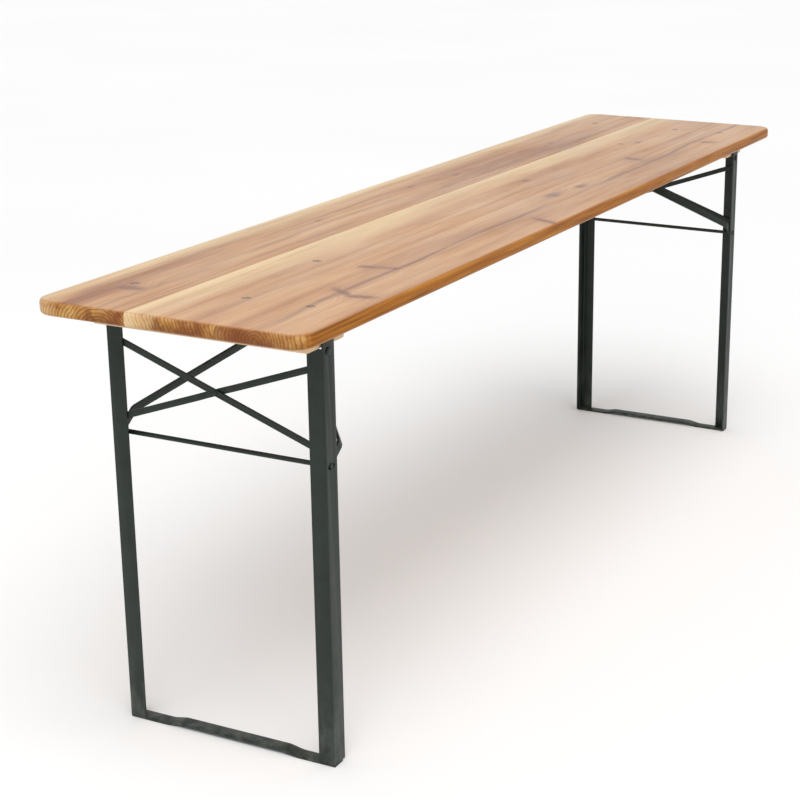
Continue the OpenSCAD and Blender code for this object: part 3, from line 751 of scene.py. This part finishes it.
leg_paint = green_paint("leg_green_paint", 0.16)
for end in ("left", "right"):
    for side in ("front", "back"):
        node = f"{end}_{side}_leg"
        leg = eased(node, node + "_iron", 0.0007, 3)
        leg.data.materials.append(leg_paint)
        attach(leg, end + "_leg_frame")
        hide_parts(node)

# ---------------------------------------------------------------------------------------------
# Foot bars
# A flat steel bar is welded under both legs. It rests on its two flat ends, and its middle is
# joggled up off the floor.
# ---------------------------------------------------------------------------------------------

foot_paint = green_paint("foot_green_paint", 0.05)
for end in ("left", "right"):
    bar = eased(end + "_foot_bar", end + "_foot_bar_steel", 0.0008, 3, bend=0.005)
    bar.data.materials.append(foot_paint)
    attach(bar, end + "_leg_frame")
    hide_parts(end + "_foot_bar")

# ---------------------------------------------------------------------------------------------
# Rods, cross bars and their rivets
# A round rod joins each pair of legs above the knee. Above it two flat bars cross behind the
# end flanges; one is bowed over the other, and a small rivet ties them where they cross.
# ---------------------------------------------------------------------------------------------

rod_paint = green_paint("rod_green_paint")
for end in ("left", "right"):
    for part, bend in (("cross_rod", 0.0), ("rear_cross_bar", 0.0), ("face_cross_bar", 0.004)):
        node = f"{end}_{part}"
        bar = eased(node, node + "_steel", 0.0005, 2, bend)
        bar.data.materials.append(rod_paint)
        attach(bar, end + "_leg_frame")
        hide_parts(node)
    node = end + "_cross_rivet"
    low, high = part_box(node)
    head = (high.z - low.z) / 2
    grip = high.x - low.x - 2 * head_tall
    rivet = domed_rivet(node, grip, head / 2, head, head_tall)
    place = (low.x + head_tall, 0.0, (low.z + high.z) / 2)
    rivets = fastened(node + "_steel", rivet, [(place, (0.0, math.pi / 2, 0.0))], rod_paint)
    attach(rivets, end + "_leg_frame")
    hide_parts(node)

# ---------------------------------------------------------------------------------------------
# Welds
# Short electric-arc beads fix the legs to the foot bar, the rod's ends to the side flanges
# and the cross bars to the end flanges. They are painted over with the frame.
# ---------------------------------------------------------------------------------------------


def weld_bead():
    """Geometry nodes: overlapping ripples of weld metal along a line."""
    tree = bpy.data.node_groups.new("weld_bead", "GeometryNodeTree")
    for label, kind in (("Line", "Geometry"), ("Width", "Float"), ("Pitch", "Float"),
                        ("Finish", "Material")):
        tree.interface.new_socket(name=label, in_out="INPUT", socket_type="NodeSocket" + kind)
    tree.interface.new_socket(name="Bead", in_out="OUTPUT", socket_type="NodeSocketGeometry")
    nodes, wire = tree.nodes, tree.links.new
    given = nodes.new("NodeGroupInput").outputs
    line = nodes.new("GeometryNodeMeshToCurve")
    wire(given["Line"], line.inputs["Mesh"])
    steps = nodes.new("GeometryNodeResampleCurve")
    steps.mode = "LENGTH"
    wire(line.outputs["Curve"], steps.inputs["Curve"])
    wire(given["Pitch"], steps.inputs["Length"])
    ball = nodes.new("GeometryNodeMeshUVSphere")
    ball.inputs["Segments"].default_value = 14
    ball.inputs["Rings"].default_value = 8
    ball.inputs["Radius"].default_value = 0.5
    flat = nodes.new("GeometryNodeTransform")
    wire(ball.outputs["Mesh"], flat.inputs["Geometry"])
    flat.inputs["Scale"].default_value = (1.0, 1.0, 0.62)
    smooth = nodes.new("GeometryNodeSetShadeSmooth")
    wire(flat.outputs["Geometry"], smooth.inputs["Geometry"])
    chance = nodes.new("FunctionNodeRandomValue")
    chance.inputs["Seed"].default_value = 11
    chance.inputs[2].default_value = 0.84
    chance.inputs[3].default_value = 1.12
    size = nodes.new("ShaderNodeMath")
    size.operation = "MULTIPLY"
    wire(chance.outputs[1], size.inputs[0])
    wire(given["Width"], size.inputs[1])
    along = nodes.new("FunctionNodeAlignRotationToVector")
    wire(nodes.new("GeometryNodeInputTangent").outputs[0], along.inputs["Vector"])
    ripples = nodes.new("GeometryNodeInstanceOnPoints")
    wire(steps.outputs["Curve"], ripples.inputs["Points"])
    wire(smooth.outputs["Geometry"], ripples.inputs["Instance"])
    wire(along.outputs[0], ripples.inputs["Rotation"])
    wire(size.outputs[0], ripples.inputs["Scale"])
    real = nodes.new("GeometryNodeRealizeInstances")
    wire(ripples.outputs["Instances"], real.inputs["Geometry"])
    finish = nodes.new("GeometryNodeSetMaterial")
    wire(real.outputs["Geometry"], finish.inputs["Geometry"])
    wire(given["Finish"], finish.inputs["Material"])
    wire(finish.outputs["Geometry"], nodes.new("NodeGroupOutput").inputs["Bead"])
    return tree


bead_tree = weld_bead()
bead_width, bead_pitch = 0.0032, 0.0012
iron = 0.003
strip_half, seam_off, seam_lift = 0.0055, 0.0056, 0.0006
for end, out in (("left", -1), ("right", 1)):
    low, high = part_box(f"{end}_back_leg")
    outer_x = min(low.x, high.x, key=lambda x: -out * x)
    bar_low, bar_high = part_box(end + "_foot_bar")
    foot_top = low.z
    bar_x = outer_x - out * (bar_high.x - bar_low.x)
    rod_low, rod_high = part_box(end + "_cross_rod")
    rod_x, rod_z = (rod_low.x + rod_high.x) / 2, (rod_low.z + rod_high.z) / 2
    rod_radius = (rod_high.z - rod_low.z) / 2
    cross_low, cross_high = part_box(end + "_rear_cross_bar")
    face_x = outer_x - out * iron
    lines = []
    for side in (-1, 1):
        in_y, out_y = side * (high.y - iron), side * high.y
        lines.append([(face_x, side * (low.y + 0.002), foot_top), (face_x, in_y, foot_top),
                      (bar_x, in_y, foot_top)])
        for middle in (90, 270):
            turns = [math.radians(middle + 10 * k) for k in range(-3, 4)]
            lines.append([(rod_x + rod_radius * math.cos(turn), out_y,
                           rod_z + rod_radius * math.sin(turn)) for turn in turns])
        half = (cross_high.z - cross_low.z) / 2
        middle = (cross_high.z + cross_low.z) / 2
        rise = (half - strip_half) / (cross_high.y - strip_half)
        for slope in (-1, 1):
            for edge in (-seam_off, seam_off):
                lines.append([(face_x - out * seam_lift, side * y,
                               middle + slope * rise * y + edge * math.hypot(1, rise))
                              for y in (low.y + 0.003, cross_high.y - 0.006)])
    mesh = bpy.data.meshes.new("weld_lines")
    points, edges = [], []
    for line in lines:
        edges += [(len(points) + k, len(points) + k + 1) for k in range(len(line) - 1)]
        points += line
    mesh.from_pydata(points, edges, [])
    welds = run_nodes(in_scene(end + "_welds", mesh), bead_tree, Width=bead_width,
                      Pitch=bead_pitch, Finish=rod_paint)
    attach(welds, end + "_leg_frame")

# ---------------------------------------------------------------------------------------------
# Braces
# Two flat arms swing on the rod beside the side flanges, slant in to the middle and are riveted
# together into a tongue, which the catch holds. Pressed from strip, bent and powder-coated.
# ---------------------------------------------------------------------------------------------

brace_paint = green_paint("brace_green_paint")
for end, out in (("left", -1), ("right", 1)):
    for side in ("front", "back"):
        node = f"{end}_{side}_brace_arm"
        arm = eased(node, node + "_steel", 0.0007, 3, bend=0.005)
        arm.data.materials.append(brace_paint)
        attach(arm, end + "_brace")
        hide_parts(node)
    node = end + "_tongue_rivets"
    low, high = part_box(node)
    head = 0.0040
    rivet = domed_rivet(node, high.y - low.y - 2 * head_tall, head / 2, head, head_tall)
    near_x, far_x = (low.x, high.x) if out < 0 else (high.x, low.x)
    places = [((near_x - out * head, low.y + head_tall, low.z + head), to_back),
              ((far_x + out * head, low.y + head_tall, high.z - head), to_back)]
    rivets = fastened(node + "_steel", rivet, places, brace_paint)
    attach(rivets, end + "_brace")
    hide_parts(node)

# ---------------------------------------------------------------------------------------------
# Studio
# A plain pale floor that runs back without an edge, soft light from the upper left and above,
# and the camera, which stands off the table's left end and looks a little down along it.
# ---------------------------------------------------------------------------------------------

floor_mesh = bpy.data.meshes.new("floor")
floor_reach = 60.0
floor_mesh.from_pydata([(-floor_reach, -floor_reach, 0), (floor_reach, -floor_reach, 0),
                        (floor_reach, floor_reach, 0), (-floor_reach, floor_reach, 0)],
                       [], [(0, 1, 2, 3)])
floor = in_scene("floor", floor_mesh)
pale = Shader("pale_floor")
floor_tone = pale.noise(pale.place, 0.6, 2.0)
floor.data.materials.append(pale.finish(
    Base_Color=pale.ramp(floor_tone, (0.3, (0.87, 0.87, 0.87)), (0.7, (0.89, 0.89, 0.89))),
    Roughness=0.85))

world = bpy.data.worlds.new("studio")
world.use_nodes = True
world.node_tree.nodes["Background"].inputs["Color"].default_value = (1.0, 1.0, 1.0, 1)
world.node_tree.nodes["Background"].inputs["Strength"].default_value = 0.66
bpy.context.scene.world = world
bpy.context.scene.view_settings.view_transform = "Standard"


def light_along(lamp, direction):
    """Puts a lamp into the scene, shining in the given direction."""
    holder = bpy.data.objects.new(lamp.name, lamp)
    bpy.context.scene.collection.objects.link(holder)
    holder.rotation_euler = direction.to_track_quat("-Z", "Y").to_euler()
    return holder


key = bpy.data.lights.new("key", "AREA")
key.shape, key.size, key.energy = "SQUARE", 1.2, 16
key_place, key_target = Vector((-3.2, -1.2, 2.6)), Vector((-0.9, 0, 0.7))
light_along(key, key_target - key_place).location = key_place

skylight = bpy.data.lights.new("skylight", "SUN")
skylight.energy, skylight.angle = 1.62, math.radians(50)
light_along(skylight, Vector((0.35, 0.30, -1.0)))

camera = bpy.data.cameras.new("camera")
camera.lens, camera.sensor_width = 79.7, 36.0
camera.shift_x, camera.shift_y = -0.15, -0.025
camera.clip_end = 200
viewer = bpy.data.objects.new("camera", camera)
bpy.context.scene.collection.objects.link(viewer)
camera_place = (-3.1885, -1.5874, 1.4589)
heading, pitch, roll = 0.443, 0.2965, 0.0049
forward = Vector((math.cos(heading) * math.cos(pitch), math.sin(heading) * math.cos(pitch),
                  -math.sin(pitch)))
level = Vector((math.sin(heading), -math.cos(heading), 0))
upward = level.cross(forward)
across = math.cos(roll) * level + math.sin(roll) * upward
above = -math.sin(roll) * level + math.cos(roll) * upward
viewer.matrix_world = Matrix.Translation(camera_place) @ Matrix(
    (across, above, -forward)).transposed().to_4x4()
bpy.context.scene.camera = viewer
